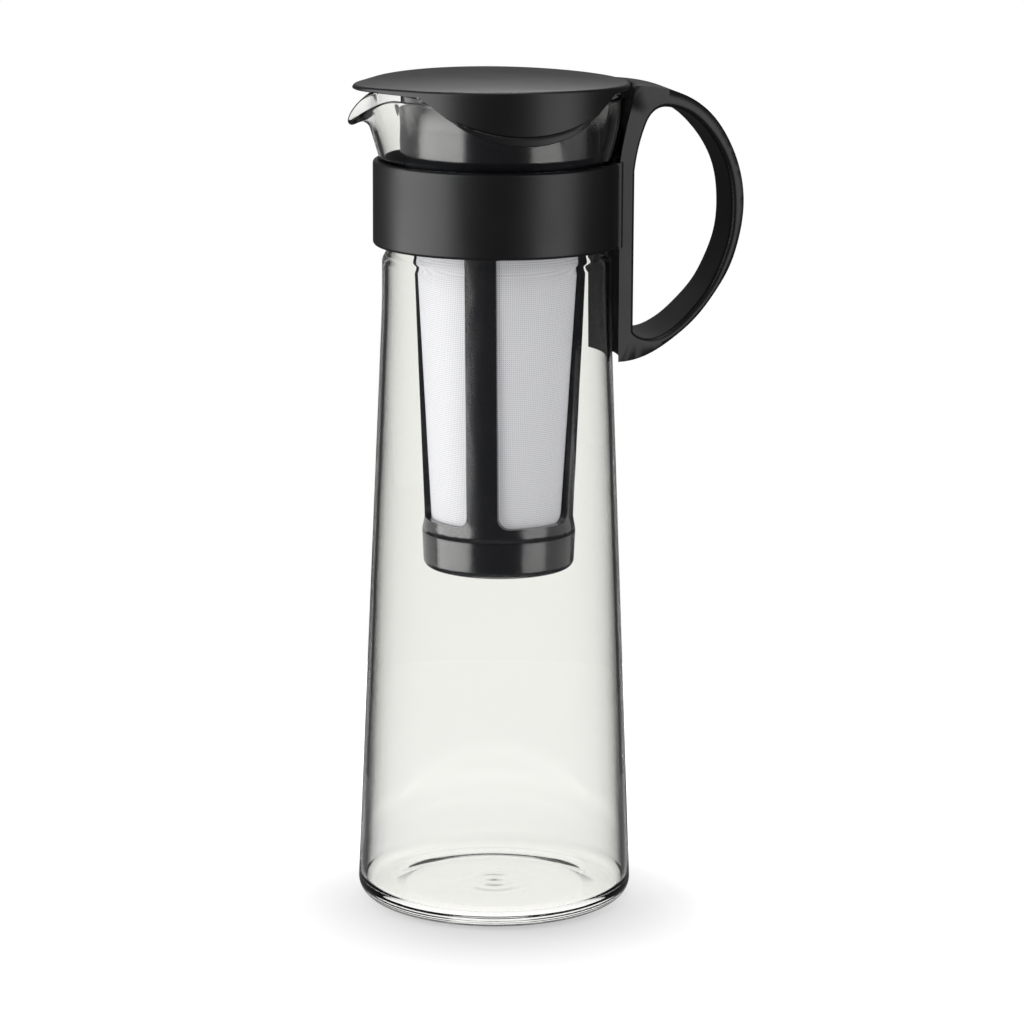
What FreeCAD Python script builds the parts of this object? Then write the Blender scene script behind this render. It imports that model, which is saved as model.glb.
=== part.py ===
import FreeCAD, Part
import Sketcher
import math
import os
import re

# Cold brew coffee maker: a one-litre glass pot with a pulled spout, a collar and a handle
# round its neck, a conical mesh strainer that hangs from the rim, and a lid.
# Millimetres. The pot's axis is Z, the base stands on Z = 0, the handle points along +X
# and the spout along -X.

SIZES = {
    # glass pot
    "base_radius": 49.0,
    "heel_radius": 6.0,
    "foot_radius": 36.5,
    "base_recess": 0.5,
    "mark_radius": 10.0,
    "floor_thickness": 4.0,
    "inner_heel": 4.5,
    "pot_wall": 2.0,
    "shoulder_radius": 40.2,
    "shoulder_band": 14.0,
    "shoulder_rise": 4.5,
    "taper_blend": 8.5,
    "neck_inset": 1.4,
    "waist_length": 21.5,
    "flare_length": 32.8,
    "flare_growth": 5.8,
    "rim_height": 288.8,
    "spout_length": 8.0,
    "spout_droop": 9.2,
    "spout_angle": 27.0,
    # collar round the neck
    "collar_depth": 4.6,
    "collar_lift": 1.8,
    "collar_height": 29.7,
    "collar_edge": 1.2,
    "collar_split": 1.2,
    "glass_gap": 0.15,
    "rail_root": 4.0,
    "rail_head": 6.0,
    "rail_depth": 2.4,
    "ear_width": 1.8,
    "ear_depth": 1.3,
    # handle
    "handle_gap": 0.12,
    "handle_depth": 43.5,
    "handle_height": 96.5,
    "handle_drop": 1.8,
    "handle_crest": 1.0,
    "spine_root": 5.0,
    "spine_relief": 1.6,
    "spine_thickness": 4.5,
    "spine_half": 17.4,
    "spine_sweep": 56.0,
    "spine_foot": 4.8,
    "spine_head": 9.8,
    "throat_low_rise": 5.5,
    "throat_low_lean": 0.8,
    "throat_top_rise": 13.5,
    "throat_top_lean": 2.3,
    "throat_step": 7.5,
    "throat_gap": 1.0,
    "grip_half": 10.4,
    "grip_thickness": 4.4,
    "handle_round": 1.7,
    # lid
    "lid_overhang": 1.8,
    "lid_thickness": 2.8,
    "lid_edge": 1.3,
    "crown_radius": 1000.0,
    "beak_length": 4.5,
    "beak_nose": 24.0,
    "beak_edge": 0.7,
    "skirt_wall": 0.9,
    "skirt_depth": 15.8,
    "skirt_half": 34.5,
    "skirt_arc": 42.5,
    "edge_share": 0.83,
    "lift_share": 0.72,
    "lift_height": 3.5,
    "lift_arc": 59.0,
    "lift_depth": 0.9,
    "sleeve_length": 8.0,
    "sleeve_wall": 1.5,
    # strainer
    "strainer_turn": 18.9,
    "strainer_sit": 1.2,
    "strainer_wall": 1.8,
    "ring_clearance": 2.0,
    "ring_length": 19.8,
    "ring_step": 1.2,
    "bead_depth": 1.9,
    "hanger_inset": 0.8,
    "hanger_thickness": 1.8,
    "hanger_span": 60.0,
    "seat_gap": 0.3,
    "cone_length": 30.0,
    "cone_foot": 4.0,
    "cone_depth": 4.2,
    "window_length": 100.0,
    "window_corner": 4.0,
    "basket_taper": 4.2,
    "rib_width": 11.0,
    "rib_depth": 0.9,
    "mesh_taper": 5.65,
    "mesh_thickness": 0.4,
    "mesh_gap": 0.1,
    "mesh_border": 1.5,
    "mesh_span": 73.0,
    # bottom cap of the strainer
    "sill_height": 4.7,
    "cap_overhang": 0.9,
    "cap_height": 12.8,
    "cap_wall": 1.7,
    "cap_floor": 2.0,
    "cap_round": 2.5,
    "cap_draft": 0.6,
    "cap_gap": 0.3,
    "spigot_wall": 1.4,
    "spigot_length": 9.0,
    # how far a cut runs past what it cuts
    "cut_past": 5.0,
}

# Places and radii that follow from the sizes, so that fitted pieces move together.
DERIVED = {
    "neck_radius": "shoulder_radius - neck_inset",
    "rim_radius": "neck_radius + flare_growth",
    "flare_foot": "rim_height - flare_length",
    "shoulder_top": "flare_foot - waist_length",
    "shoulder_height": "shoulder_top - shoulder_rise",
    "taper_height": "shoulder_height - shoulder_band",
    "spout_reach": "rim_radius + spout_length",
    "spout_height": "rim_height - spout_droop",
    "collar_radius": "neck_radius + collar_depth",
    "collar_low": "shoulder_top + collar_lift",
    "collar_top": "collar_low + collar_height",
    "strainer_seat": "rim_height + seat_gap",
    "strainer_top": "strainer_seat + hanger_thickness",
    "lid_under": "strainer_top + seat_gap",
    "lid_top": "lid_under + lid_thickness",
    "lid_radius": "rim_radius + lid_overhang",
    "beak_reach": "lid_radius + beak_length",
    "skirt_low": "lid_under - skirt_depth",
    "spine_face": "collar_radius + spine_relief",
    "handle_reach": "collar_radius + handle_depth",
    "handle_top": "lid_top - handle_drop",
    "handle_low": "handle_top - handle_height",
    "throat_radius": "lid_radius + throat_gap",
    "ring_radius": "neck_radius - pot_wall - ring_clearance",
    "ring_low": "rim_height - ring_length",
    "bead_radius": "ring_radius + bead_depth",
    "hanger_radius": "rim_radius - hanger_inset",
    "window_top": "ring_low - cone_length",
    "window_low": "window_top - window_length",
    "basket_top": "ring_radius - cone_depth",
    "basket_low": "basket_top - basket_taper",
    "mesh_top": "basket_top - rib_depth",
    "mesh_low": "mesh_top - mesh_taper",
    "cap_radius": "basket_low + cap_overhang",
    "spigot_top": "window_low - sill_height",
    "cap_top": "spigot_top - cap_gap",
    "cap_low": "cap_top - cap_height",
}

doc = FreeCAD.newDocument("ColdBrewMaker")
sheet = doc.addObject("Spreadsheet::Sheet", "sizes")
for row, (alias, value) in enumerate(SIZES.items(), start=1):
    sheet.set(f"A{row}", alias)
    sheet.set(f"B{row}", str(value))
    sheet.setAlias(f"B{row}", alias)
doc.recompute()

ALIAS = re.compile(r"[a-z]+(?:_[a-z]+)+")


def spelled(text):
    """An expression with each derived name written out in the sheet's own aliases."""
    def word(found):
        name = found.group(0)
        return f"({spelled(DERIVED[name])})" if name in DERIVED else name

    return ALIAS.sub(word, text)


def bound(text):
    """An expression as another object of the document writes it."""
    return ALIAS.sub(lambda found: "sizes." + found.group(0), spelled(text))


def number(text):
    """The value of an expression on the sheet's aliases."""
    return float(sheet.evalExpression(spelled(text)))


# ---------------------------------------------------------------- sketches and features

def new_body(name, sit="0"):
    """An empty body whose label names the piece, set off the pot's axis along X by sit."""
    body = doc.addObject("PartDesign::Body", name)
    body.Label = name
    if sit != "0":
        body.setExpression("Placement.Base.x", bound(sit))
    return body


def new_sketch(body, name, plane, turn="0", lift="0"):
    """A sketch on one of the body's origin planes, turned about Z or lifted along its normal."""
    sketch = body.newObject("Sketcher::SketchObject", name)
    support = next(item for item in body.Origin.OriginFeatures if item.Role == plane)
    sketch.AttachmentSupport = [(support, "")]
    sketch.MapMode = "FlatFace"
    upright = FreeCAD.Vector(0, 0, 1) if plane == "XY_Plane" else FreeCAD.Vector(0, 1, 0)
    turned = FreeCAD.Rotation(upright, number(turn))
    sketch.AttachmentOffset = FreeCAD.Placement(FreeCAD.Vector(0, 0, 0), turned)
    if lift != "0":
        sketch.setExpression(".AttachmentOffset.Base.z", bound(lift))
    return sketch


def arc_between(start, end, radius):
    """The short arc from start to end. A positive radius turns left, a negative one right."""
    chord = end - start
    half = chord.Length / 2
    rise = math.sqrt(max(radius * radius - half * half, 0.0))
    side = 1 if radius > 0 else -1
    left = FreeCAD.Vector(-chord.y, chord.x, 0) / chord.Length
    centre = (start + end) / 2 + left * rise * side
    circle = Part.Circle(centre, FreeCAD.Vector(0, 0, 1), abs(radius))
    first = start - centre if side > 0 else end - centre
    last = end - centre if side > 0 else start - centre
    return Part.ArcOfCircle(circle, math.atan2(first.y, first.x), math.atan2(last.y, last.x))


def draw(sketch, outline):
    """Draw a closed outline of corners (x, y) or (x, y, edge).

    The edge runs from its corner to the next one: an expression is an arc's radius, with a
    minus sign where it turns right, and a list holds the points that a curve passes through.
    Every corner is held by expressions on the sheet.
    """
    corners = [FreeCAD.Vector(number(item[0]), number(item[1]), 0) for item in outline]
    first = sketch.GeometryCount
    ends = []
    for place, item in enumerate(outline):
        start = corners[place]
        end = corners[(place + 1) % len(corners)]
        edge = item[2] if len(item) > 2 else None
        if edge is None:
            sketch.addGeometry(Part.LineSegment(start, end), False)
            ends.append((1, 2))
        elif isinstance(edge, str):
            radius = number(edge)
            index = sketch.addGeometry(arc_between(start, end, radius), False)
            ends.append((1, 2) if radius > 0 else (2, 1))
            held = sketch.addConstraint(Sketcher.Constraint("Radius", index, abs(radius)))
            sketch.setExpression(f"Constraints[{held}]", bound(edge.lstrip("-")))
        else:
            curve = Part.BSplineCurve()
            between = [FreeCAD.Vector(number(x), number(y), 0) for x, y in edge]
            curve.interpolate([start] + between + [end])
            sketch.addGeometry(curve, False)
            ends.append((1, 2))
    count = len(outline)
    for place in range(count):
        after = (place + 1) % count
        sketch.addConstraint(Sketcher.Constraint(
            "Coincident", first + place, ends[place][1], first + after, ends[after][0]))
    for place, item in enumerate(outline):
        for kind, text in (("DistanceX", item[0]), ("DistanceY", item[1])):
            held = sketch.addConstraint(Sketcher.Constraint(
                kind, -1, 1, first + place, ends[place][0], number(text)))
            sketch.setExpression(f"Constraints[{held}]", bound(text))
    return sketch


def pad(body, sketch, length, midplane=False):
    """Pad a sketch by a length, or half of it each way."""
    feature = body.newObject("PartDesign::Pad", sketch.Name + "_pad")
    feature.Profile = sketch
    feature.Midplane = midplane
    feature.setExpression("Length", bound(length))
    sketch.Visibility = False
    doc.recompute()
    return feature


def pocket(body, sketch, length, midplane=False, reversed_way=False):
    """Cut a sketch out of the body, and make sure that it took something away."""
    before = body.Shape.Volume
    feature = body.newObject("PartDesign::Pocket", sketch.Name + "_pocket")
    feature.Profile = sketch
    feature.Midplane = midplane
    feature.Reversed = reversed_way
    feature.setExpression("Length", bound(length))
    doc.recompute()
    if not feature.Shape.Volume < before - 0.01:
        raise RuntimeError(feature.Name + " cuts nothing")
    return feature


def revolve(body, sketch, angle="360", cut=False):
    """Turn a sketch about Z, evenly to both sides, adding to the body or cutting it."""
    before = body.Shape.Volume if cut else 0
    kind = "PartDesign::Groove" if cut else "PartDesign::Revolution"
    feature = body.newObject(kind, sketch.Name + ("_groove" if cut else "_turned"))
    feature.Profile = sketch
    feature.ReferenceAxis = (sketch, ["V_Axis"])
    feature.Midplane = True
    feature.setExpression("Angle", bound(angle))
    doc.recompute()
    if cut and not feature.Shape.Volume < before - 0.01:
        raise RuntimeError(feature.Name + " cuts nothing")
    return feature


def edges_where(shape, test):
    """Names of the shape's edges whose middle and ends all pass a test."""
    names = []
    for index, edge in enumerate(shape.Edges, start=1):
        middle = edge.valueAt((edge.FirstParameter + edge.LastParameter) / 2)
        points = [middle] + [vertex.Point for vertex in edge.Vertexes]
        if all(test(point) for point in points):
            names.append(f"Edge{index}")
    return names


def fillet(body, test, radius):
    """Round the edges of the body's last feature that pass a test."""
    base = body.Tip
    names = edges_where(base.Shape, test)
    if not names:
        raise RuntimeError(body.Name + " has no edge to round")
    feature = body.newObject("PartDesign::Fillet", body.Name + "_round")
    feature.Base = (base, names)
    feature.setExpression("Radius", bound(radius))
    doc.recompute()
    return feature


def near(value, wanted, tolerance=0.02):
    return abs(value - wanted) < tolerance


def reach(point):
    """Distance of a point from the pot's axis."""
    return math.hypot(point.x, point.y)


# ---------------------------------------------------------------- glass pot

# The wall above the flare's foot, outside, as shares of its growth outward and upward:
# all round the pot, and along the middle of the spout, where the lip is pulled out and droops.
PLAIN_WALL = [(0, 0), (0.10, 0.152), (0.33, 0.305), (0.57, 0.46),
              (0.77, 0.63), (0.91, 0.79), (0.97, 0.89), (1, 0.9695)]
SPOUT_WALL = [(0, 0), (0.045, 0.208), (0.158, 0.417), (0.272, 0.629),
              (0.39, 0.842), (0.52, 0.982), (0.72, 1.022), (0.913, 0.979)]
SPOUT_STEPS = 8
DROOP_POWER = 1.4


def neck_wall(growth):
    """Outer points (radius, height) of the neck where the spout has grown by a share."""
    radius = number("neck_radius")
    foot = number("flare_foot")
    plain_out = number("rim_radius") - radius
    plain_up = number("rim_height") - foot
    spout_out = number("spout_reach") - radius
    spout_up = number("spout_height") - foot
    drop = growth ** DROOP_POWER
    points = []
    for (plain_r, plain_z), (spout_r, spout_z) in zip(PLAIN_WALL, SPOUT_WALL):
        out = (1 - growth) * plain_r * plain_out + growth * spout_r * spout_out
        up = (1 - drop) * plain_z * plain_up + drop * spout_z * spout_up
        points.append(FreeCAD.Vector(radius + out, foot + up, 0))
    return points


def draw_neck(sketch, growth):
    """Draw the neck's wall: its outside, the rounded lip, its inside and its foot."""
    wall = number("pot_wall")
    outside = neck_wall(growth)
    outer = Part.BSplineCurve()
    outer.interpolate(Points=outside, InitialTangent=FreeCAD.Vector(0, 1, 0),
                      FinalTangent=outside[-1] - outside[-2])
    inside = []
    for point in outside:
        along = outer.tangent(outer.parameter(point))[0]
        inside.append(point + FreeCAD.Vector(-along.y, along.x, 0) * wall)
    along = outer.tangent(outer.LastParameter)[0]
    tip = (outside[-1] + inside[-1]) / 2 + along * wall / 2
    inner = Part.BSplineCurve()
    inner.interpolate(Points=inside[::-1], InitialTangent=outside[-2] - outside[-1],
                      FinalTangent=FreeCAD.Vector(0, -1, 0))
    lip = Part.Arc(outside[-1], tip, inside[-1])
    foot = Part.LineSegment(inside[0], outside[0])
    for piece in (outer, lip, inner, foot):
        sketch.addGeometry(piece, False)
    for place in range(4):
        sketch.addConstraint(Sketcher.Constraint("Coincident", place, 2, (place + 1) % 4, 1))
    return sketch


def make_glass_pot():
    """Blown pot: tapered wall, waisted neck, flared rim and a spout lofted through sections."""
    body = new_body("glass_pot")
    lean = "atan((base_radius - shoulder_radius) / (taper_height - heel_radius))"
    swing = "((shoulder_rise ^ 2 + (shoulder_radius - neck_radius) ^ 2)" \
            " / (4 * (shoulder_radius - neck_radius)))"
    blend = f"(taper_blend / tan({lean} / 2))"
    rate = "((base_radius - shoulder_radius) / (taper_height - heel_radius))"
    heel_top = "floor_thickness + inner_heel"
    heel_in = f"base_radius - pot_wall - {rate} * ({heel_top} - heel_radius)"
    middle = "(shoulder_radius + neck_radius) / 2"
    profile = new_sketch(body, "pot_profile", "XZ_Plane")
    draw(profile, [
        ("0", "0"),
        ("mark_radius", "0"),
        ("mark_radius + base_recess", "base_recess"),
        ("foot_radius - base_recess", "base_recess"),
        ("foot_radius", "0"),
        ("base_radius - heel_radius", "0", "heel_radius"),
        (f"base_radius - heel_radius * (1 - cos({lean}))", f"heel_radius * (1 + sin({lean}))"),
        (f"shoulder_radius + taper_blend * sin({lean})",
         f"taper_height - taper_blend * cos({lean})", f"-{blend}"),
        ("shoulder_radius", "taper_height + taper_blend"),
        ("shoulder_radius", "shoulder_height", swing),
        (middle, "shoulder_height + shoulder_rise / 2", f"-{swing}"),
        ("neck_radius", "shoulder_top"),
        ("neck_radius", "flare_foot"),
        ("neck_radius - pot_wall", "flare_foot"),
        ("neck_radius - pot_wall", "shoulder_top", swing),
        (f"{middle} - pot_wall", "shoulder_height + shoulder_rise / 2", f"-{swing}"),
        ("shoulder_radius - pot_wall", "shoulder_height"),
        ("shoulder_radius - pot_wall", "taper_height + taper_blend", blend),
        (f"shoulder_radius - pot_wall + taper_blend * sin({lean})",
         f"taper_height - taper_blend * cos({lean})"),
        (heel_in, heel_top, "-inner_heel"),
        (f"{heel_in} - inner_heel", "floor_thickness"),
        ("0", "floor_thickness"),
    ])
    revolve(body, profile)
    neck = draw_neck(new_sketch(body, "neck_section", "XZ_Plane"), 0)
    revolve(body, neck, "360 - 2 * spout_angle")
    sections = []
    for step in range(-SPOUT_STEPS, SPOUT_STEPS + 1):
        share = step / SPOUT_STEPS
        growth = math.cos(math.pi / 2 * share) ** 2 if abs(share) < 1 else 0
        turn = f"180 + spout_angle * {share}"
        name = f"spout_section_{step + SPOUT_STEPS}"
        sections.append(draw_neck(new_sketch(body, name, "XZ_Plane", turn), growth))
    spout = body.newObject("PartDesign::AdditiveLoft", "spout")
    spout.Profile = sections[0]
    spout.Sections = sections[1:]
    doc.recompute()
    return body


# ---------------------------------------------------------------- collar and handle

# The relief that the collar's bore has round the foot of the flare, as shares of the flare's
# growth and length.
FLARE_RELIEF = [(0.14, 0.152), (0.46, 0.33)]


def mirrored(half):
    """Half an outline, taken backward on the other side of the X axis."""
    back = []
    for place in range(len(half) - 1, -1, -1):
        x, y = half[place][:2]
        edge = half[place - 1][2:] if place > 0 else ()
        back.append((x, f"-({y})", *edge))
    return back


def make_neck_collar():
    """Split collar in the neck's waist, with a half dovetail rail on each of its two ends."""
    body = new_body("neck_collar")
    bore = "(neck_radius + glass_gap)"
    split = "collar_split / 2"
    ear_in = "(spine_half + 3 * handle_gap)"
    ear_out = "(spine_half + ear_width + 3 * handle_gap)"

    def on_circle(radius, offset):
        return f"sqrt({radius} ^ 2 - ({offset}) ^ 2)"

    half = [
        (on_circle("collar_radius", ear_out), ear_out, "-ear_width"),
        (f"{on_circle('collar_radius', ear_in)} + ear_depth", f"{ear_in} + handle_gap"),
        (f"{on_circle('collar_radius', ear_in)} + ear_depth", ear_in),
        (on_circle("collar_radius", ear_in), ear_in, "-collar_radius"),
        (on_circle("collar_radius", "rail_root"), "rail_root"),
        ("collar_radius + rail_depth", "rail_head"),
        ("collar_radius + rail_depth", split),
        (on_circle(bore, split), split),
    ]
    other = mirrored(half)
    plan = new_sketch(body, "collar_plan", "XY_Plane", lift="collar_low")
    draw(plan, [
        (*half[-1], bore),
        (f"-{bore}", "0", bore),
        *other[:-1],
        (*other[-1], "-collar_radius"),
        ("-collar_radius", "0", "-collar_radius"),
        *half[:-1],
    ])
    pad(body, plan, "collar_height")
    flare = new_sketch(body, "collar_flare", "XZ_Plane")
    relief = [(f"{bore} + {out} * flare_growth", f"flare_foot + {up} * flare_length")
              for out, up in FLARE_RELIEF]
    draw(flare, [
        (f"{bore} - pot_wall", "flare_foot"),
        (bore, "flare_foot"),
        *relief,
        (f"{bore} - pot_wall", relief[-1][1]),
    ])
    revolve(body, flare, "360", cut=True)
    low = number("collar_low")
    high = number("collar_top")
    radius = number("collar_radius")
    ear = number(on_circle("collar_radius", ear_out))

    def outer_edge(point):
        level = near(point.z, low) or near(point.z, high)
        return level and near(reach(point), radius) and point.x < ear + 0.1

    fillet(body, outer_edge, "collar_edge")
    return body


# The handle's loop in side view, as shares of its reach and of its height: the outer curve
# and the finger hole, both from the foot round the grip to the top.
LOOP_OUTSIDE = [(0.30, 0.029), (0.435, 0.068), (0.647, 0.153), (0.786, 0.238), (0.891, 0.323),
                (0.96, 0.42), (1, 0.56), (0.965, 0.685), (0.88, 0.790), (0.722, 0.898),
                (0.50, 0.968), (0.34, 0.990)]
HOLE_FOOT = 0.137
HOLE_HEAD = 0.644
LOOP_HOLE = [(0.025, 0.102), (0.10, 0.083), (0.24, 0.079), (0.37, 0.099), (0.507, 0.137),
             (0.613, 0.177), (0.773, 0.251), (0.89, 0.338), (0.975, 0.435), (1, 0.56),
             (0.947, 0.69), (0.853, 0.768), (0.728, 0.833), (0.56, 0.89), (0.40, 0.915),
             (0.267, 0.917), (0.184, 0.897), (0.115, 0.849), (0.045, 0.757)]


def make_handle():
    """One moulding: a spine that wraps the collar, and a strap that loops back to its foot."""
    body = new_body("handle")
    inner = "(collar_radius + handle_gap)"
    root = "(collar_radius - spine_root)"
    wide = "(handle_reach - collar_radius + spine_root)"
    deep = "(handle_reach - grip_thickness - spine_face)"
    loop = new_sketch(body, "handle_side", "XZ_Plane")
    outside = [(f"{root} + {share} * {wide}", f"handle_low + {level} * handle_height")
               for share, level in LOOP_OUTSIDE]
    draw(loop, [
        (root, "handle_low", outside),
        ("spine_face + handle_crest", "handle_top"),
        (root, "handle_top"),
    ])
    pad(body, loop, "4 * spine_half", midplane=True)
    hole = new_sketch(body, "handle_hole", "XZ_Plane")
    inside = [(f"spine_face + {share} * {deep}", f"handle_low + {level} * handle_height")
              for share, level in LOOP_HOLE]
    draw(hole, [
        ("spine_face", f"handle_low + {HOLE_FOOT} * handle_height", inside),
        ("spine_face", f"handle_low + {HOLE_HEAD} * handle_height"),
    ])
    pocket(body, hole, "6 * spine_half", midplane=True)
    spine = new_sketch(body, "spine_plate", "XZ_Plane")
    draw(spine, [
        (inner, "handle_low + spine_foot"),
        (f"{inner} + spine_thickness", "handle_low + spine_foot"),
        (f"{inner} + spine_thickness", "collar_top + spine_head"),
        (inner, "collar_top + spine_head"),
    ])
    revolve(body, spine, "spine_sweep")
    throat = new_sketch(body, "spine_throat", "XZ_Plane")
    draw(throat, [
        ("neck_radius / 2", "handle_low - cut_past"),
        (inner, "handle_low - cut_past"),
        (inner, "collar_top"),
        (f"{inner} + throat_low_lean", "collar_top + throat_low_rise"),
        (f"{inner} + throat_top_lean", "collar_top + throat_top_rise"),
        ("throat_radius", "lid_top - throat_step"),
        ("throat_radius", "lid_top + cut_past"),
        ("neck_radius / 2", "lid_top + cut_past"),
    ])
    revolve(body, throat, "360", cut=True)
    sides = new_sketch(body, "handle_sides", "XY_Plane", lift="handle_low - cut_past")
    slope = "((spine_half - grip_half) / (handle_reach - neck_radius))"
    for way in ("", "-"):
        draw(sides, [
            ("neck_radius / 2", f"{way}(spine_half + {slope} * neck_radius / 2)"),
            ("handle_reach + cut_past", f"{way}(grip_half - {slope} * cut_past)"),
            ("handle_reach + cut_past", f"{way}(3 * spine_half)"),
            ("neck_radius / 2", f"{way}(3 * spine_half)"),
        ])
    pocket(body, sides, "handle_height + 4 * cut_past", reversed_way=True)
    channel = new_sketch(body, "rail_channel", "XY_Plane", lift="collar_low - handle_gap")
    flank = [
        ("neck_radius", "rail_root + handle_gap"),
        ("sqrt(collar_radius ^ 2 - rail_root ^ 2)", "rail_root + handle_gap"),
        ("collar_radius + rail_depth + handle_gap", "rail_head + handle_gap"),
    ]
    draw(channel, flank + mirrored(flank))
    pocket(body, channel, "handle_top - collar_low + 2 * cut_past", reversed_way=True)
    half_at_start = number("spine_half")
    fall = number(slope)
    foot = number("neck_radius")
    bare = number("spine_face")

    def on_side(point):
        half = half_at_start - fall * (point.x - foot)
        return near(abs(point.y), half, 0.05) and point.x > bare - 0.05

    fillet(body, on_side, "handle_round")
    return body


# ---------------------------------------------------------------- lid

def make_lid():
    """Flat lid with a beak over the spout, two scalloped skirts and a locating sleeve."""
    body = new_body("lid")
    # The lower edge of the skirts in side view, and the crease of their finger lift above it.
    edge = "(edge_share * skirt_half)"
    edge_height = f"skirt_low + skirt_arc - sqrt(skirt_arc ^ 2 - {edge} ^ 2)"
    crease = "(lift_share * skirt_half)"
    crease_height = f"skirt_low + lift_height + lift_arc - sqrt(lift_arc ^ 2 - {crease} ^ 2)"

    lift = new_sketch(body, "lift_strip", "XZ_Plane")
    draw(lift, [
        (f"-{crease}", "skirt_low - cut_past"),
        (crease, "skirt_low - cut_past"),
        (crease, crease_height, "-lift_arc"),
        (f"-{crease}", crease_height),
    ])
    pad(body, lift, "4 * lid_radius", midplane=True)
    trim = new_sketch(body, "lift_trim", "XZ_Plane")
    draw(trim, [
        ("lid_radius + lift_depth", "skirt_low - 2 * cut_past"),
        ("4 * lid_radius", "skirt_low - 2 * cut_past"),
        ("4 * lid_radius", "lid_top + cut_past"),
        ("lid_radius + lift_depth", "lid_top + cut_past"),
    ])
    revolve(body, trim, cut=True)
    drum = new_sketch(body, "lid_drum", "XZ_Plane")
    draw(drum, [
        ("0", "skirt_low - cut_past / 2"),
        ("lid_radius", "skirt_low - cut_past / 2"),
        ("lid_radius", "lid_top"),
        ("0", "lid_top"),
    ])
    revolve(body, drum)
    scallop = new_sketch(body, "skirt_scallop", "XZ_Plane")
    draw(scallop, [
        ("-2 * lid_radius", "lid_under"),
        ("-skirt_half", "lid_under"),
        (f"-{edge}", edge_height, "skirt_arc"),
        (edge, edge_height),
        ("skirt_half", "lid_under"),
        ("2 * lid_radius", "lid_under"),
        ("2 * lid_radius", "skirt_low - 2 * cut_past"),
        ("-2 * lid_radius", "skirt_low - 2 * cut_past"),
    ])
    pocket(body, scallop, "4 * lid_radius", midplane=True)
    hollow = new_sketch(body, "skirt_hollow", "XZ_Plane")
    draw(hollow, [
        ("0", "skirt_low - 3 * cut_past"),
        ("lid_radius - skirt_wall", "skirt_low - 3 * cut_past"),
        ("lid_radius - skirt_wall", "lid_under"),
        ("0", "lid_under"),
    ])
    revolve(body, hollow, cut=True)

    centre = "(beak_reach - beak_nose)"
    cosine = f"((lid_radius - beak_nose) / {centre})"
    sine = f"sqrt(1 - {cosine} ^ 2)"
    plan = new_sketch(body, "lid_plan", "XY_Plane", lift="lid_under")
    draw(plan, [
        ("lid_radius", "0", "lid_radius"),
        (f"-lid_radius * {cosine}", f"lid_radius * {sine}"),
        (f"-{centre} - beak_nose * {cosine}", f"beak_nose * {sine}", "beak_nose"),
        (f"-{centre} - beak_nose * {cosine}", f"-beak_nose * {sine}"),
        (f"-lid_radius * {cosine}", f"-lid_radius * {sine}", "lid_radius"),
    ])
    pad(body, plan, "lid_thickness")
    crown = new_sketch(body, "lid_crown", "XZ_Plane")
    brim = "(beak_reach + cut_past)"
    brim_height = f"lid_top - crown_radius + sqrt(crown_radius ^ 2 - {brim} ^ 2)"
    draw(crown, [
        (f"-{brim}", brim_height, "-crown_radius"),
        (brim, brim_height),
        (brim, "lid_top + cut_past"),
        (f"-{brim}", "lid_top + cut_past"),
    ])
    pocket(body, crown, "4 * lid_radius", midplane=True)
    sleeve = new_sketch(body, "lid_sleeve", "XZ_Plane")
    outside = "ring_radius - strainer_wall - strainer_sit - seat_gap"
    draw(sleeve, [
        (f"{outside} - sleeve_wall", "lid_under - sleeve_length"),
        (outside, "lid_under - sleeve_length"),
        (outside, "lid_under"),
        (f"{outside} - sleeve_wall", "lid_under"),
    ])
    revolve(body, sleeve)
    under = number("lid_under")
    top = number("lid_top")
    bend = number("crown_radius")

    def top_edge(point):
        return near(point.z, top - bend + math.sqrt(bend ** 2 - point.x ** 2))

    fillet(body, top_edge, "lid_edge")

    def beak_edge(point):
        return near(point.z, under) and point.x < -number("skirt_half")

    fillet(body, beak_edge, "beak_edge")
    return body


# ---------------------------------------------------------------- strainer

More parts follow.
